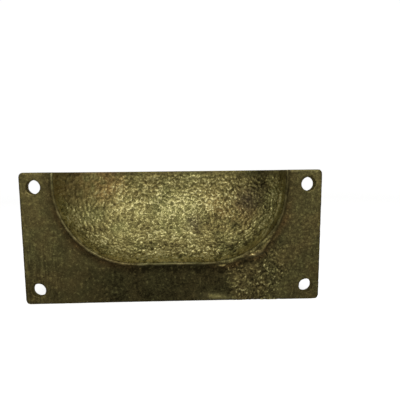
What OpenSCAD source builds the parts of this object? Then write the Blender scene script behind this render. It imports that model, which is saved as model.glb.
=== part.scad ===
// Cup drawer pull, cast in one piece in brass
// X runs along the plate, Z towards the open mouth, Y out through the front of the cup
// The back of the plate lies on the plane Y = 0, centred on the four screw holes

/* [Plate] */
// Length of the plate along the drawer
plate_w = 90; // [88:1:120]
// Height of the plate, from the mouth edge to the edge behind the cup
plate_h = 40; // [38:1:60]
// Thickness of the plate
plate_t = 2.4; // [1.8:0.1:3.2]
// Radius of the plate's four corners
corner_r = 1.3; // [0.8:0.1:3]
// Filed chamfer round the front face of the plate
chamfer = 0.5; // [0.2:0.1:0.7]

/* [Screw holes] */
// Distance between hole centres along the plate
hole_spacing_x = 82; // [81:0.2:84]
// Distance between hole centres up the plate
hole_spacing_z = 31.4; // [28:0.2:33]
// Diameter of each hole
hole_d = 4.2; // [3:0.1:4.6]

/* [Cup] */
// Length of the straight middle of the cup, between its two quarter-round ends
cup_straight = 22.2; // [12:0.2:23]
// Radius of the hollow's quarter-round ends, at the back of the plate
hollow_r = 23.8; // [20:0.1:24.2]
// Straight run of the cup's sides, from the end of the quarter rounds to the mouth
mouth_run = 3.8; // [1:0.1:6]
// Depth of the hollow from the back of the plate
hollow_depth = 17; // [16:0.5:22]
// Height at which the cup wall starts to turn over
wall_rise = 3; // [2.8:0.1:3.6]
// Inside radius at which the cup wall turns over
turn_r = 8; // [6:0.5:12]
// Thickness of the cup wall
wall_t = 1.8; // [1.4:0.1:2]
// Fillet between the cup and the front of the plate
foot_fillet = 1.2; // [0.6:0.1:1.3]

/* [Bead] */
// Radius of the raised bead that runs round the hollow, on the back of the plate
bead_r = 0.5; // [0.4:0.05:0.9]
// Distance from the hollow's wall out to the middle of the bead
bead_out = 0.5; // [0.4:0.05:0.7]

/* [Hidden] */
$fn = 96;
brass = "#7d7244";
cut_over = 1;
mouth_y = plate_h / 2;
arc_y = mouth_y - mouth_run;
bead_path_r = hollow_r + bead_out;
outer_r = hollow_r + wall_t;
outer_turn_r = turn_r + wall_t;
outer_depth = hollow_depth + wall_t;

// Radius of the crown that meets the turned-over wall without a crease
function crown_r(reach, depth, turn) =
    let (side = reach - turn, height = depth - wall_rise)
    (side * side + height * height - turn * turn) / (2 * (height - turn));

// Distance from the middle at which the crown gives way to the turned-over wall
function crown_reach(reach, depth, turn) =
    let (side = reach - turn)
    side + turn * side / (crown_r(reach, depth, turn) - turn);

// Half of the cup's arched section: a straight wall, a tight turn and a wide crown
module arch(reach, depth, turn, skirt) {
    crown = crown_r(reach, depth, turn);
    meet = crown_reach(reach, depth, turn);
    translate([0, -skirt])
        square([reach, skirt + wall_rise]);
    intersection() {
        translate([0, depth - crown])
            circle(r = crown);
        square([meet, depth]);
    }
    intersection() {
        translate([reach - turn, wall_rise])
            circle(r = turn);
        translate([meet, wall_rise])
            square([reach - meet, turn]);
    }
}

// Half of the fillet at the foot of the cup, beside the arched section
module foot_section() {
    difference() {
        translate([outer_r - wall_t / 2, plate_t - chamfer])
            square([wall_t / 2 + foot_fillet, chamfer + foot_fillet]);
        translate([outer_r + foot_fillet, plate_t + foot_fillet])
            circle(r = foot_fillet);
    }
}

// The round section of the bead
module bead_section() {
    translate([bead_path_r, 0])
        circle(r = bead_r);
}

// Sweeps a half section round the cup: two quarter turns, a straight middle and two
// straight runs up to the mouth, which go on by the length called past
module round_the_cup(past) {
    middle = cup_straight / 2;
    for (side = [0, 1])
        translate([side ? middle : -middle, arc_y, 0]) {
            rotate([0, 0, side ? 270 : 180])
                rotate_extrude(angle = 90)
                    children();
            mirror([side ? 0 : 1, 0, 0])
                translate([0, mouth_run + past, 0])
                    rotate([90, 0, 0])
                        linear_extrude(height = mouth_run + past)
                            children();
        }
    translate([-middle, arc_y, 0])
        rotate([90, 0, 90])
            linear_extrude(height = cup_straight)
                mirror([1, 0])
                    children();
}

// A solid the shape of the cup, with the straight middle carried up to the mouth
module cup_form(reach, depth, turn, skirt, past) {
    round_the_cup(past)
        arch(reach, depth, turn, skirt);
    translate([-cup_straight / 2, arc_y, -skirt])
        cube([cup_straight, mouth_run + past, skirt + depth]);
}

// Section through the plate with its two front edges chamfered
module plate_section(length) {
    half = length / 2;
    polygon([
        [-half, 0],
        [half, 0],
        [half, plate_t - chamfer],
        [half - chamfer, plate_t],
        [-half + chamfer, plate_t],
        [-half, plate_t - chamfer]
    ]);
}

// One rounded and chamfered corner of the plate
module plate_corner() {
    cylinder(r = corner_r, h = plate_t - chamfer);
    translate([0, 0, plate_t - chamfer])
        cylinder(r1 = corner_r, r2 = corner_r - chamfer, h = chamfer);
}

module plate() {
    inner_w = plate_w - 2 * corner_r;
    inner_h = plate_h - 2 * corner_r;
    translate([0, inner_h / 2, 0])
        rotate([90, 0, 0])
            linear_extrude(height = inner_h)
                plate_section(plate_w);
    translate([-inner_w / 2, 0, 0])
        rotate([90, 0, 90])
            linear_extrude(height = inner_w)
                plate_section(plate_h);
    for (x = [-inner_w / 2, inner_w / 2], y = [-inner_h / 2, inner_h / 2])
        translate([x, y, 0])
            plate_corner();
}

module screw_holes() {
    for (x = [-hole_spacing_x / 2, hole_spacing_x / 2], y = [-hole_spacing_z / 2, hole_spacing_z / 2])
        translate([x, y, -cut_over])
            cylinder(d = hole_d, h = plate_t + 2 * cut_over);
}

// The whole casting, lying on its back with the mouth towards +Y
module casting() {
    difference() {
        union() {
            plate();
            cup_form(outer_r, outer_depth, outer_turn_r, 0, 0);
            round_the_cup(0)
                foot_section();
            round_the_cup(0)
                bead_section();
        }
        cup_form(hollow_r, hollow_depth, turn_r, bead_r + cut_over, cut_over);
        screw_holes();
    }
}

module cup_pull() {
    color(brass)
        rotate([90, 0, 180])
            casting();
}

cup_pull();
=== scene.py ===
import math

import bmesh
import bpy
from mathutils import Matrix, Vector, noise
from mathutils.bvhtree import BVHTree


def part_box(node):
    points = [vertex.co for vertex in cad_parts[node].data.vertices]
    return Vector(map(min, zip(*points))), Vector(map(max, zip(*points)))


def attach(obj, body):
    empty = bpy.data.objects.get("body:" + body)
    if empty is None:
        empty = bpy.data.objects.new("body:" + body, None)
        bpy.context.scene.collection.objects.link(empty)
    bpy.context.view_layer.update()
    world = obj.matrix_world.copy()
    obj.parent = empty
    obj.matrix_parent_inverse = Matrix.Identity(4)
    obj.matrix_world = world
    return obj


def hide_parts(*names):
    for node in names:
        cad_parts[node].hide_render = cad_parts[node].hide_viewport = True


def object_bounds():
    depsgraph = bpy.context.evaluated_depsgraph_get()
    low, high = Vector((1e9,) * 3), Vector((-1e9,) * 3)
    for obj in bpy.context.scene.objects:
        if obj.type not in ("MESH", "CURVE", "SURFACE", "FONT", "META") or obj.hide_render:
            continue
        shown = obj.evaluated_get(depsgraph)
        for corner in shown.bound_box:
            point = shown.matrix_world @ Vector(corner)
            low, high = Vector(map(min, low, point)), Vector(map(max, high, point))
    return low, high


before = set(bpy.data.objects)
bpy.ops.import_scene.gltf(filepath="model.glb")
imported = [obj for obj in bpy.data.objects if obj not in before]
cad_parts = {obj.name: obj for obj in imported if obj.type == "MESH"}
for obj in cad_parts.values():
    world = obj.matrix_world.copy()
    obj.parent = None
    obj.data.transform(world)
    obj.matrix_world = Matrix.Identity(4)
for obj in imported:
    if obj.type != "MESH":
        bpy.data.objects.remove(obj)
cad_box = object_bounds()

# The camera
# It looks a little down on the back of the pull, close to it and level with its mouth edge.
# The lens shift is only what puts the plate where the photograph has it in its square frame.
camera_place = Vector((0.00037, -0.10679, 0.01942))
camera_turn = (83.19, 0.65, -1.59)
sensor_width = 36.0
lens = 32.24
lens_shift = (0.0422, 0.0390)
nearest_seen = 0.005

camera_data = bpy.data.cameras.new("photo_view")
camera_data.sensor_width = sensor_width
camera_data.lens = lens
camera_data.shift_x, camera_data.shift_y = lens_shift
camera_data.clip_start = nearest_seen
camera = bpy.data.objects.new("photo_view", camera_data)
camera.location = camera_place
camera.rotation_euler = [math.radians(turn) for turn in camera_turn]
bpy.context.collection.objects.link(camera)
bpy.context.scene.camera = camera

# The floor
# A pale floor that turns up into a round wall, like a paper sweep, with the pull standing on
# its lower edge in the middle. It is lit for itself and throws no light on the brass.
floor_radius = 0.70
sweep_radius = 0.20
wall_height = 0.75
sweep_steps = 12
floor_turns = 96
floor_colour = (0.86, 0.86, 0.85, 1.0)
floor_glow = 0.74
paper_roughness = 0.9
merge_gap = 1e-6

floor_mesh = bpy.data.meshes.new("floor")
bm = bmesh.new()
floor_level = cad_box[0].z
profile = [bm.verts.new((0.0, 0.0, floor_level))]
for step in range(sweep_steps + 1):
    turn = math.radians(90.0 * step / sweep_steps)
    out = floor_radius - sweep_radius * (1.0 - math.sin(turn))
    up = floor_level + sweep_radius * (1.0 - math.cos(turn))
    profile.append(bm.verts.new((out, 0.0, up)))
profile.append(bm.verts.new((floor_radius, 0.0, floor_level + wall_height)))
edges = [bm.edges.new(pair) for pair in zip(profile, profile[1:])]
bmesh.ops.spin(bm, geom=profile + edges, cent=(0.0, 0.0, 0.0), axis=(0.0, 0.0, 1.0),
               angle=math.tau, steps=floor_turns, use_merge=True)
bmesh.ops.remove_doubles(bm, verts=bm.verts, dist=merge_gap)
bmesh.ops.recalc_face_normals(bm, faces=bm.faces)
for face in bm.faces:
    face.smooth = True
bm.to_mesh(floor_mesh)
bm.free()
floor = bpy.data.objects.new("floor", floor_mesh)
bpy.context.collection.objects.link(floor)

floor_paper = bpy.data.materials.new("floor_paper")
floor_paper.use_nodes = True
shader = floor_paper.node_tree.nodes["Principled BSDF"]
shader.inputs["Base Color"].default_value = floor_colour
shader.inputs["Roughness"].default_value = paper_roughness
shader.inputs["Specular IOR Level"].default_value = 0.0
shader.inputs["Emission Color"].default_value = (1.0, 1.0, 1.0, 1.0)
shader.inputs["Emission Strength"].default_value = floor_glow
floor_mesh.materials.append(floor_paper)
floor.visible_glossy = False
floor.visible_diffuse = False

# The light
# One soft lamp above the mouth and in front of the camera's side, a little to the right, and
# a dim even room. The lamp rakes down into the hollow and leaves the flat back dark.
lamp_place = Vector((0.03, -0.43, 0.28))
lamp_size = 0.20
lamp_power = 1.12
room_light = 0.25

lamp_data = bpy.data.lights.new("soft_lamp", "AREA")
lamp_data.size = lamp_size
lamp_data.energy = lamp_power
lamp = bpy.data.objects.new("soft_lamp", lamp_data)
lamp.location = lamp_place
lamp.rotation_euler = (-lamp_place).to_track_quat("-Z", "Y").to_euler()
bpy.context.collection.objects.link(lamp)

room = bpy.data.worlds.new("room")
room.use_nodes = True
room.node_tree.nodes["Background"].inputs["Color"].default_value = (1.0, 1.0, 1.0, 1.0)
room.node_tree.nodes["Background"].inputs["Strength"].default_value = room_light
bpy.context.scene.world = room
bpy.context.scene.view_settings.view_transform = "Standard"

# The casting
# The whole pull is one casting in brass, poured in a sand mould: a flat plate and the hollow
# cup. Its skin is the solid's surface laid out again in small even faces, which stay small
# where the brass is coarse and grow where it is smooth. Its sizes are in mm.
cup_straight = 22.2
hollow_radius = 23.8
mouth_run = 3.8
bead_path = 24.3
skin_step = 0.26
smooth_keep = 0.22
brief_bumps = 0.03
brief_bump_size = 1.3
to_mm = 1000.0

pull_low, pull_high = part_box("cup_pull")
arc_z = pull_high.z * to_mm - mouth_run

skin = bpy.data.meshes.new("cast_cup_pull")
bm = bmesh.new()
bm.from_mesh(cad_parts["cup_pull"].data)
bmesh.ops.remove_doubles(bm, verts=bm.verts, dist=merge_gap)
true_surface = BVHTree.FromBMesh(bm)
bm.to_mesh(skin)
bm.free()
casting = bpy.data.objects.new("cast_cup_pull", skin)
bpy.context.collection.objects.link(casting)


def apply_modifiers():
    """Gives the casting the mesh that its modifiers make, set back on the solid's surface."""
    bpy.context.view_layer.update()
    evaluated = casting.evaluated_get(bpy.context.evaluated_depsgraph_get())
    mesh = bpy.data.meshes.new_from_object(evaluated)
    casting.modifiers.clear()
    casting.data = mesh
    for vertex in mesh.vertices:
        vertex.co = true_surface.find_nearest(vertex.co)[0]
    mesh.update()
    return mesh


def round_cup(place):
    """How far a place in mm lies beside and below the cup's spine, and how far from it."""
    aside = max(0.0, abs(place.x) - cup_straight / 2.0)
    below = max(0.0, arc_z - place.z)
    return aside, below, math.hypot(aside, below)


# The coarse skin ends this far outside the hollow, but for the patch beside its lower right.
rim_margin = 0.3
patch_left = 8.0
patch_top = 8.0
patch_reach = 14.0


def is_coarse(vertex):
    """Whether the skin is coarse here: in the hollow, and on the back at the lower right."""
    place = vertex.co * to_mm
    aside, below, away = round_cup(place)
    inward = below * vertex.normal.z - math.copysign(aside, place.x) * vertex.normal.x
    if away < hollow_radius + rim_margin:
        return vertex.normal.y < 0.0 or inward > 0.0
    near_rim = place.x > patch_left and place.z < patch_top and away < bead_path + patch_reach
    return vertex.normal.y < 0.0 and near_rim


remesh = casting.modifiers.new("even_skin", "REMESH")
remesh.mode = "VOXEL"
remesh.voxel_size = skin_step / to_mm
skin = apply_modifiers()
smooth_places = [index for index, vertex in enumerate(skin.vertices) if not is_coarse(vertex)]
smooth_share = len(smooth_places) / len(skin.vertices)
# Slight bumps keep the faces of the flat parts from getting long and thin as they get fewer. They
# are gone again after that, when every point goes back to the solid's surface.
even_normals = [vertex.normal.copy() for vertex in skin.vertices]
for vertex, normal in zip(skin.vertices, even_normals):
    vertex.co += normal * brief_bumps * noise.noise(vertex.co * to_mm / brief_bump_size) / to_mm
casting.vertex_groups.new(name="smooth").add(smooth_places, 1.0, "REPLACE")
fewer = casting.modifiers.new("fewer_faces", "DECIMATE")
fewer.vertex_group = "smooth"
fewer.ratio = 1.0 - smooth_share * (1.0 - smooth_keep)
skin = apply_modifiers()
skin.name = "cast_cup_pull"
casting.vertex_groups.clear()


def ramp(value, low, high):
    """0 at low, 1 at high, and smooth between them."""
    part = min(1.0, max(0.0, (value - low) / (high - low)))
    return part * part * (3.0 - 2.0 * part)


def hump(value, middle, spread):
    """1 at the middle, falling away on both sides."""
    return math.exp(-((value - middle) / spread) ** 2)


def spot(place, middle_x, spread_x, middle_z, spread_z):
    """1 at a spot of the casting, falling away all round it."""
    return hump(place.x, middle_x, spread_x) * hump(place.z, middle_z, spread_z)


def corner(place, start_x, full_x, start_z, full_z):
    """1 in a corner of the casting, and 0 before the places where it starts."""
    return ramp(place.x, start_x, full_x) * ramp(place.z, start_z, full_z)


def lumps(place, size, seed):
    """Soft rises and hollows, from -1 to 1."""
    return noise.noise(place / size + Vector((seed, -seed, 3.0 * seed)))


def worms(place, size, seed, narrow=2.6):
    """Winding lines such as coarse sand leaves in brass, from 0 to 1."""
    spot = place / size + Vector((seed, 2.0 * seed, 0.5 * seed))
    return 1.0 - min(1.0, narrow * abs(noise.noise(spot)))


# The grain is bent by this many mm, over bends of this size. The seed keeps it the same in every run.
grain_bend = 0.35
grain_bend_size = 1.8
grain_level = 0.08
grain_seed = 8
noise.seed_set(grain_seed)


def sand_grain(place):
    """The coarse skin that the sand core left in the hollow, around 0."""
    bent = place + grain_bend * noise.noise_vector(place / grain_bend_size)
    curls = 0.40 * worms(bent, 1.0, 11.0) + 0.25 * worms(bent, 2.1, 15.0, 3.5)
    creases = 0.35 * worms(bent, 1.5, 3.0, 4.0) + 0.35 * worms(bent, 3.4, 23.0, 8.0)
    pebbles = 0.45 * lumps(place, 0.75, 13.0)
    return curls - creases + 0.20 * lumps(place, 3.0, 5.0) + pebbles - grain_level


def along(line, value):
    """Reads a line of (place, height) points at a value, straight between the points."""
    for (low, start), (high, end) in zip(line, line[1:]):
        if low <= value < high:
            return start + (end - start) * (value - low) / (high - low)
    return 0.0


# The rim swells where the mould gave way, at the lower right seen from the back. Each point is
# the turn in degrees down from level, round the cup's right quarter, and how far out the
# swollen rim reaches there.
swollen_rim = [(16, 0.0), (24, 0.15), (30, 0.3), (36, 0.6), (43, 1.05), (48, 1.45), (52, 2.1), (57, 2.1),
               (60, 1.2), (63, 0.7), (68, 0.6), (74, 0.9), (77, 0.7), (81, 1.3), (86, 0.6), (90, 0.0)]
# How deep in the hollow the low ridge on the wall beside that rim runs, by its height z.
wall_ridge_line = [(-40, 1.5), (-1, 1.5), (2.4, 3.8), (6, 3.8), (9, 2.8), (40, 2.5)]
# How far the skin rises or sinks at each of its marks.
hollow_grain = 0.42
patch_grain = 0.24
plate_grain = 0.045
front_grain = 0.025
swollen_height = 0.22
outer_ridge_height = 0.32
wall_ridge_height = 0.45
bead_bumps = 0.15
smooth_part_depth = 0.08
pocket_depth = 0.25
rim_lean = 0.95
patch_edge_x = 16.0
# How light the patina is, before its marks: 0 is the near black of dirt and of painted shade, and 1 is
# well rubbed brass.
plate_lightness = 0.47
swollen_lightness = 0.58
hollow_lightness = 0.86
front_lightness = 0.62
# Where the skin has its marks: middle x and its spread, then middle z and its spread.
red_place = (-29.0, 6.5, 15.5, 6.0)
right_bruise = (25.0, 4.0, 10.0, 4.0)
middle_bruise = (7.1, 2.2, 2.6, 3.0)
pocket_place = (23.0, 3.0, -8.0, 1.4)
ruddy_place = (19.5, 8.0, 6.5, 6.5)
# Bands across the middle of the hollow: how much lighter, middle z, and spread. The two lighter bands are
# painted highlights.
hollow_bands = [(0.16, 9.5, 5.5), (0.13, -1.4, 1.8), (-0.20, -4.0, 1.2), (-0.06, 3.4, 1.6)]
# Spots and corners that are lighter or darker: how much lighter, and then as in spot and corner.
hollow_spots = [(-0.23, 15.5, 6.3, 1.0, 5.2), (0.12, 29.0, 2.5, 1.5, 3.0),
                (0.30, -26.3, 2.5, 19.6, 1.2), (0.10, -27.0, 2.0, 14.0, 2.5)]
hollow_corners = [(-0.30, 19.0, 30.0, 2.0, 14.0), (-0.10, 16.0, 26.0, 14.0, 2.0),
                  (-0.07, 24.0, 29.0, 11.0, 15.0), (0.28, 30.5, 33.0, 3.0, 7.0),
                  (0.10, -33.6, -34.6, 7.0, 11.0)]
plate_corners = [(0.08, -34.0, -39.0, -9.0, -3.0), (-0.03, 30.0, 36.0, 8.0, 14.0)]

attribute_names = ("relief", "tone", "grit", "specked", "streaked", "wear_and_highlight", "ruddy", "bruise")
attributes = {name: [] for name in attribute_names}
skin_normals = [vertex.normal.copy() for vertex in skin.vertices]
for vertex, normal in zip(skin.vertices, skin_normals):
    place = vertex.co * to_mm
    x, y, z = place
    aside, below, away = round_cup(place)
    inward = -(math.copysign(aside, x) * normal.x - below * normal.z) / max(away, 0.1)
    drift = lumps(place, 4.0, 7.0)
    broad = lumps(place, 9.0, 17.0)
    ripple = lumps(place, 1.6, 21.0)
    fine = 0.6 * lumps(place, 0.9, 9.0) + 0.4 * lumps(place, 0.5, 2.0)

    # Which part of the casting this is: its back, the hollow, or the flat of the back.
    right_side = ramp(x, 8.0, 22.0)
    back = ramp(-normal.y, -0.1, 0.4) * ramp(1.8 - y, 0.0, 0.6)
    inside = (1.0 - ramp(away, hollow_radius, hollow_radius + 0.35)) * ramp(y, -0.3, 0.2)
    inside *= ramp(max(-normal.y, inward), 0.0, 0.4)
    flat_back = back * ramp(away, hollow_radius + 0.4, hollow_radius + 1.4)

    # The bead, the rim where it swelled, the ridge at that rim's outer edge, a pit beside it that is
    # painted in shade, and the lower end of the lip, which gets a reddish painted highlight.
    turn = math.degrees(math.atan2(below, max(0.01, x - cup_straight / 2.0)))
    swell = along(swollen_rim, turn) if x > 0.0 else 0.0
    rim_edge = bead_path + swell + 0.25 * ripple
    swollen = back * ramp(away, hollow_radius, bead_path) * ramp(rim_edge - away, -0.3, 0.3)
    swollen *= ramp(swell, 0.3, 0.9)
    bead = back * hump(away, bead_path, 0.5) * (1.0 - 0.7 * swollen)
    outer_ridge = back * hump(away, rim_edge, 0.35) * ramp(swell, 0.4, 1.0) * (0.7 + 0.8 * ripple)
    shaded_pit = flat_back * spot(place, *pocket_place) * (1.0 - swollen)
    # The lower end of the swollen lip gets a reddish painted highlight.
    lip_end_highlight = back * hump(x, 24.4, 2.8) * hump(z - 0.25 * (x - 24.0), -5.9, 0.7)

    # The plate: coarse at the lower right, smooth below the cup, and streaked at the lower left.
    right_of_line = ramp(x + 0.32 * (z + 13.0) + 1.6 * ripple, patch_edge_x - 1.2, patch_edge_x + 1.6)
    patch = flat_back * right_of_line * (1.0 - swollen) * (1.0 - shaded_pit)
    patch *= ramp(-8.0 - z + 0.45 * (x - patch_edge_x) + 3.0 * drift, 0.0, 3.0)
    patch *= 1.0 - ramp(x + 3.0 * drift, 31.0, 37.0)
    patch = max(patch, flat_back * 0.34 * ramp(x, 26.0, 30.0))
    low_left = flat_back * ramp(-x + 1.5 * drift, 32.0, 37.0) * ramp(-z + 3.0 * drift, -2.0, 4.0)
    low_edge = flat_back * hump(x, 13.5, 4.5) * hump(z + 0.1 * (x - 13.5), -18.7, 0.9)
    smooth_part = flat_back * ramp(-8.0 - z + 1.5 * drift, 0.0, 2.0) * (1.0 - right_of_line)
    smooth_part *= ramp(x + 4.0 * drift, -34.0, -16.0)
    smooth_part *= 1.0 - low_edge

    # The hollow: a red place, two bruises, the lower wall, the groove at its foot, which is painted in
    # shade, and the lip at the mouth, then the steep strip of wall, the low ridge above it, which gets a
    # painted highlight, and a smoother facet.
    red = inside * spot(place, *red_place)
    bruise = inside * max(spot(place, *right_bruise), spot(place, *middle_bruise))
    wall = inside * ramp(away, 19.5, 23.0) * ramp(below, 3.0, 10.0)
    groove_shade = inside * (1.0 - ramp(y, 0.2, 0.9))
    lip = inside * ramp(z + 0.9 * right_side, 18.3, 19.3)
    ridge_depth = along(wall_ridge_line, z)
    steep = inside * (1.0 - ramp(y, ridge_depth - 0.8, ridge_depth + 0.2))
    steep *= max(ramp(z, 5.0, 12.0), ramp(x, 22.0, 27.0) * ramp(z, -3.0, 2.0))
    wall_ridge = inside * hump(y + 0.4 * ripple, ridge_depth, 0.45) * ramp(x, 24.0, 29.0)
    wall_ridge *= ramp(z + 2.0 * ripple, -5.0, 0.0) * (1.0 - 0.8 * ramp(z, 12.0, 15.0))
    facet = inside * hump(turn, 52.0, 11.0) * (1.0 - ramp(y + 0.8 * ripple, 4.5, 7.0))
    facet *= ramp(x, 18.0, 20.0)
    coarse = inside * (1.0 - 0.35 * red) * (1.0 + 0.10 * right_side + 0.6 * wall)
    coarse *= ((1.0 - 0.6 * lip) * (1.0 - 0.6 * steep) * (1.0 - 0.22 * ramp(-x, 8.0, 16.0))
               * (1.0 - 0.7 * facet))

    # The grain is drawn out down the wall, and round the cup beside the swollen rim.
    drawn_y = y - 0.7 * min(max(y, 0.0), 3.0) - 0.3 * min(max(y - 3.0, 0.0), 4.0)
    grain = sand_grain(Vector((x, drawn_y, z)))
    round_rim = inside * ramp(x, 15.0, 20.0) * ramp(away, 14.0, 18.0) * (1.0 - ramp(z, 4.0, 9.0))
    if round_rim > 0.0:
        drawn_round = sand_grain(Vector((0.2 * turn, drawn_y, away)))
        grain += round_rim * (0.85 * drawn_round - 0.6 * grain)
    smooth = max(0.0, 1.0 - coarse)
    rise = (front_grain + (plate_grain - front_grain) * back) * fine * smooth
    rise += grain * (hollow_grain * coarse + patch_grain * max(patch, 0.8 * swollen))
    rise += (swollen_height * swollen + outer_ridge_height * outer_ridge + bead_bumps * bead * ripple
             - smooth_part_depth * smooth_part)
    rise += (wall_ridge_height * wall_ridge
             + swollen * (0.35 * ripple - 0.30 * hump(away, bead_path - 0.2, 0.5)))
    rise -= pocket_depth * shaded_pit

    # The right side of the rim leans in near the mouth. No point leaves the solid's own box.
    lean = max(inside * (1.0 - ramp(y, 4.0, 7.0)), back) * ramp(x, 28.0, 33.0) * ramp(z, 3.0, 14.0)
    lean *= ramp(away, 20.5, 22.5) * (1.0 - ramp(away, 25.2, 27.5))
    moved = (place + normal * rise - Vector((rim_lean * lean, 0.0, 0.0))) / to_mm
    vertex.co = [min(max(value, low), high) for value, low, high in zip(moved, pull_low, pull_high)]

    # The patina of the plate. Round the cup it is darker in a band that is partly dirt and partly painted
    # shadow cast by the raised bead.
    shade_start = bead_path + 0.5
    shade_width = 3.2 + 0.6 * ramp(x, 0.0, 30.0)
    shade_and_dirt = 1.0 - ramp(away - swell + 0.5 * ripple, shade_start, shade_start + shade_width)
    shade_and_dirt *= (0.33 - 0.08 * right_side) * (1.0 - 0.45 * ramp(z, -3.0, 6.0))
    # The plate is painted lighter towards the top, as light falling off downwards from the lamp above.
    plate_tone = plate_lightness + 0.10 * ramp(z, -22.0, 22.0) + 0.07 * drift
    plate_tone += (0.45 + 0.5 * ripple) * low_edge
    plate_tone += 0.02 * ramp(x, 28.0, 34.0) - 0.09 * patch - 0.06 * low_left
    for lighter, *corner_place in plate_corners:
        plate_tone += lighter * corner(place, *corner_place)
    plate_tone += 0.10 * smooth_part * lumps(place, 2.2, 31.0)
    # The smooth part below the cup is darker. The band round the cup takes the painted shadow of the
    # bead, with its dirt.
    plate_tone -= flat_back * (0.28 * smooth_part * (1.0 - shade_and_dirt) + shade_and_dirt * (1.0 - swollen))
    # Painted shade darkens the pit beside the swollen rim.
    plate_tone -= 0.16 * shaded_pit

    # The patina of the hollow, with painted highlights in bands across its middle and painted shade in
    # the groove.
    middle = 1.0 - ramp(abs(x + 2.0), 13.0, 24.0)
    hollow_tone = hollow_lightness + 0.10 * drift + 0.06 * broad - 0.14 * bruise - 0.06 * red
    # The lighter bands here are painted highlights across the hollow.
    for lighter, band_z, band_spread in hollow_bands:
        hollow_tone += middle * lighter * hump(z, band_z, band_spread)
    for lighter, *spot_place in hollow_spots:
        hollow_tone += lighter * spot(place, *spot_place)
    for lighter, *corner_place in hollow_corners:
        hollow_tone += lighter * corner(place, *corner_place)
    hollow_tone -= 0.06 * middle * ramp(z, 15.5, 18.5)
    # The low ridge on the wall is painted lighter: a painted highlight where it catches the light.
    hollow_tone += wall * (0.04 - 0.12 * right_side) + 0.25 * wall_ridge + 0.33 * facet
    hollow_tone += steep * (0.15 * ramp(z, 5.0, 9.0) - 0.08 - 0.07 * right_side)
    # Painted shade darkens the groove just inside the rim.
    hollow_tone -= groove_shade * (0.34 - 0.24 * ramp(z, 2.0, 9.0)) + (0.22 - 0.12 * right_side) * lip
    hollow_tone -= 0.18 * hump(x, -31.8, 2.0) * ramp(z, 9.0, 13.0)
    hollow_tone += 0.10 * ramp(x, 31.0, 33.0) * hump(z, 11.5, 2.5)
    hollow_tone -= 0.12 * hump(x, 29.5, 2.5) * ramp(z, 6.0, 10.0)

    # The patina of the front, lighter towards the crown of the cup, and then all three together.
    front_tone = front_lightness + 0.20 * ramp(y, 5.0, 18.0) + 0.06 * drift + 0.10 * broad
    tone = front_tone + (plate_tone - front_tone) * back
    tone += (swollen_lightness + 0.25 * ripple - tone) * swollen - 0.20 * bead * right_side
    tone += (hollow_tone - tone) * inside

    # Bare brass on the bead, the outer ridge, the crown and the plate's low edge, and painted highlights
    # on the low ridge in the hollow, the wall's high grains (with bare brass there too), the bead's upper
    # left end, the lower end of the swollen lip and the plate's top edge at the right.
    wear_and_highlight = bead * (0.28 + 0.5 * ripple + 0.5 * fine) * (1.0 - 0.6 * right_side)
    wear_and_highlight *= 1.0 - hump(z, 13.0, 4.0)
    # The outer ridge and the low edge are bare brass. The low ridge on the wall gets a painted highlight.
    wear_and_highlight += 0.20 * outer_ridge + 0.25 * low_edge + wall_ridge * (0.7 + 0.8 * ripple)
    # The wall's high grains: painted glints, with bare brass.
    wear_and_highlight += 0.7 * wall * ramp(grain, 0.0, 0.35) * (1.0 - right_side)
    wear_and_highlight += 0.5 * (1.0 - back) * (1.0 - inside) * ramp(y + 2.0 * drift, 11.0, 18.0) * (0.6 + 0.4 * ripple)
    # A painted highlight at the bead's upper left end.
    wear_and_highlight += 0.8 * bead * hump(x, -35.4, 2.0) * ramp(z, 18.2, 19.4)
    # A reddish painted highlight at the lower end of the swollen lip.
    wear_and_highlight += lip_end_highlight * (0.5 + 0.5 * ramp(grain, 0.0, 0.3))
    # A painted highlight along the plate's top edge at the right.
    wear_and_highlight += 0.5 * back * hump(z, 20.0, 0.4) * ramp(x, 31.0, 34.0)

    # Reddish brown in two places of the hollow, in the dirt beside the rim and on the plate.
    ruddy = inside * hump(x, -24.0, 10.0) * ramp(z, 5.0, 18.0)
    ruddy += 0.60 * inside * spot(place, *ruddy_place)
    rim_dirt = hump(away - swell, bead_path + 0.8, 1.1) * ramp(abs(x), 9.0, 14.0)
    rim_dirt *= 1.0 - 0.8 * ramp(z, 5.0, 12.0)
    # The reddish painted highlight at the lip's end is tinted here too.
    ruddy += 0.8 * back * rim_dirt + 0.14 * flat_back * (1.0 - smooth_part) + 0.5 * lip_end_highlight
    ruddy *= 1.0 + 0.6 * drift + 0.7 * ripple

    grained = max(coarse, patch, 0.8 * swollen)
    attributes["relief"].append(grain * grained + 0.5 * fine * smooth)
    attributes["tone"].append(tone)
    attributes["grit"].append(max(grained, 0.3 * low_left))
    attributes["specked"].append(max(patch, 0.35 * flat_back, 0.5 * swollen))
    attributes["streaked"].append(low_left)
    attributes["wear_and_highlight"].append(wear_and_highlight)
    attributes["ruddy"].append(ruddy)
    attributes["bruise"].append(bruise)
skin.update()
for face in skin.polygons:
    face.use_smooth = True
for name, values in attributes.items():
    skin.attributes.new(name, "FLOAT", "POINT").data.foreach_set("value", values)

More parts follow.
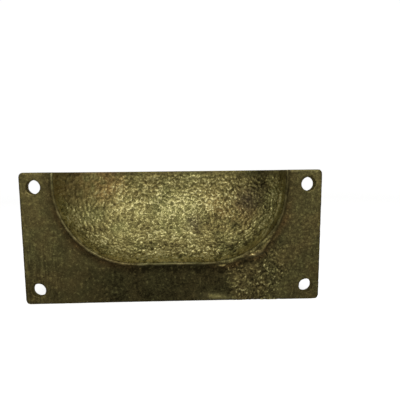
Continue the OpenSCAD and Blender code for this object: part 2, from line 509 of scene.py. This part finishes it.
# The finish
# Brass left as cast and never lacquered: an olive brown patina, nearly black where dirt gathers and where
# shade is painted, with bare yellow brass on the high grains and along the rubbed bead, and painted
# highlights on some ridges, edges and grains.
dirt_and_shade_colour = (0.021, 0.017, 0.006, 1.0)
brown_patina = (0.128, 0.103, 0.038, 1.0)
green_patina = (0.115, 0.103, 0.038, 1.0)
brown_brass = (0.410, 0.352, 0.125, 1.0)
green_brass = (0.380, 0.356, 0.125, 1.0)
bare_brass_and_highlight = (0.625, 0.562, 0.262, 1.0)
ruddy_tint = (1.14, 0.90, 0.86, 1.0)
bruise_colour = (0.130, 0.100, 0.060, 1.0)
gloss_tint = (1.0, 0.85, 0.5, 1.0)
metal_share = 0.85
dull_roughness = 0.58
rubbed_roughness = 0.46
pit_depth = 0.00008

cast_brass = bpy.data.materials.new("cast_brass")
cast_brass.use_nodes = True
tree = cast_brass.node_tree
shader = tree.nodes["Principled BSDF"]
shader.inputs["Metallic"].default_value = metal_share
shader.inputs["Specular Tint"].default_value = gloss_tint
object_place = tree.nodes.new("ShaderNodeTexCoord").outputs["Object"]


def read(name):
    """The value stored on the casting's skin under this name."""
    node = tree.nodes.new("ShaderNodeAttribute")
    node.attribute_name = name
    return node.outputs["Fac"]


def mottle(scale, detail, roughness=0.6, upright=1.0):
    """Random blotches, scale to the metre, and drawn out upwards where upright is under 1."""
    node = tree.nodes.new("ShaderNodeTexNoise")
    node.inputs["Scale"].default_value = scale
    node.inputs["Detail"].default_value = detail
    node.inputs["Roughness"].default_value = roughness
    drawn = tree.nodes.new("ShaderNodeMapping")
    drawn.inputs["Scale"].default_value = (1.0, 1.0, upright)
    tree.links.new(object_place, drawn.inputs["Vector"])
    tree.links.new(drawn.outputs["Vector"], node.inputs["Vector"])
    return node.outputs["Fac"]


def stretch(value, low, high, to_low=0.0, to_high=1.0):
    """Spreads the part of value between low and high over a new range, and clamps it."""
    node = tree.nodes.new("ShaderNodeMapRange")
    tree.links.new(value, node.inputs["Value"])
    for name, number in (("From Min", low), ("From Max", high), ("To Min", to_low), ("To Max", to_high)):
        node.inputs[name].default_value = number
    return node.outputs["Result"]


def work(operation, first, second):
    """One sum on two values, either of which may be a plain number."""
    node = tree.nodes.new("ShaderNodeMath")
    node.operation = operation
    for socket, value in zip(node.inputs, (first, second)):
        if isinstance(value, float):
            socket.default_value = value
        else:
            tree.links.new(value, socket)
    return node.outputs["Value"]


def blend(amount, first, second, how="MIX"):
    """Mixes two colours, each a plain colour or a socket."""
    node = tree.nodes.new("ShaderNodeMix")
    node.data_type = "RGBA"
    node.blend_type = how
    tree.links.new(amount, node.inputs["Factor"])
    for socket, value in ((node.inputs[6], first), (node.inputs[7], second)):
        if isinstance(value, tuple):
            socket.default_value = value
        else:
            tree.links.new(value, socket)
    return node.outputs[2]


def around_zero(value):
    """Brings a value that lies around a half down to around zero."""
    return work("SUBTRACT", value, 0.5)


# The lightness is the skin's own tone with the blotches, specks and streaks laid over it.
grit = read("grit")
blotches = mottle(260.0, 3.0)
specks = mottle(1500.0, 2.0, 0.7)
fine_grit = mottle(2600.0, 1.0)
bright_specks = stretch(mottle(1050.0, 1.0), 0.57, 0.68)
flecks = stretch(mottle(1700.0, 2.0, 0.65), 0.50, 0.62)
streaks = stretch(mottle(1300.0, 2.0, 0.6, 0.12), 0.35, 0.65, -0.12, 0.20)
lightness = read("tone")
for layer, share in ((around_zero(blotches), 0.4),
                     (around_zero(specks), 0.45),
                     (around_zero(fine_grit), stretch(grit, 0.0, 1.5, 0.60, 1.1)),
                     (bright_specks, work("MULTIPLY", read("specked"), 0.8)),
                     (flecks, work("MULTIPLY", grit, 0.25)),
                     (read("relief"), 0.65),
                     (streaks, read("streaked"))):
    lightness = work("ADD", lightness, work("MULTIPLY", layer, share))

hue = stretch(mottle(110.0, 2.0), 0.40, 0.60)
colour = blend(stretch(lightness, 0.0, 0.5), dirt_and_shade_colour, blend(hue, brown_patina, green_patina))
colour = blend(stretch(lightness, 0.5, 1.2), colour, blend(hue, brown_brass, green_brass))
colour = blend(read("ruddy"), colour, ruddy_tint, "MULTIPLY")
colour = blend(work("MULTIPLY", read("bruise"), 0.6), colour, bruise_colour)
# Worn brass and painted highlights both take the bare brass colour.
bare_and_highlight = work("MAXIMUM", work("MULTIPLY", read("wear_and_highlight"), 0.4), stretch(lightness, 1.02, 1.4))
colour = blend(bare_and_highlight, colour, bare_brass_and_highlight)
tree.links.new(colour, shader.inputs["Base Color"])
roughness = stretch(bare_and_highlight, 0.0, 1.0, dull_roughness, rubbed_roughness)
tree.links.new(roughness, shader.inputs["Roughness"])

bump = tree.nodes.new("ShaderNodeBump")
bump.inputs["Distance"].default_value = pit_depth
tree.links.new(stretch(grit, 0.0, 1.0, 0.35, 0.8), bump.inputs["Strength"])
tree.links.new(work("ADD", specks, work("MULTIPLY", fine_grit, 0.5)), bump.inputs["Height"])
tree.links.new(bump.outputs["Normal"], shader.inputs["Normal"])
skin.materials.clear()
skin.materials.append(cast_brass)

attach(casting, "root")
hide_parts("cup_pull")
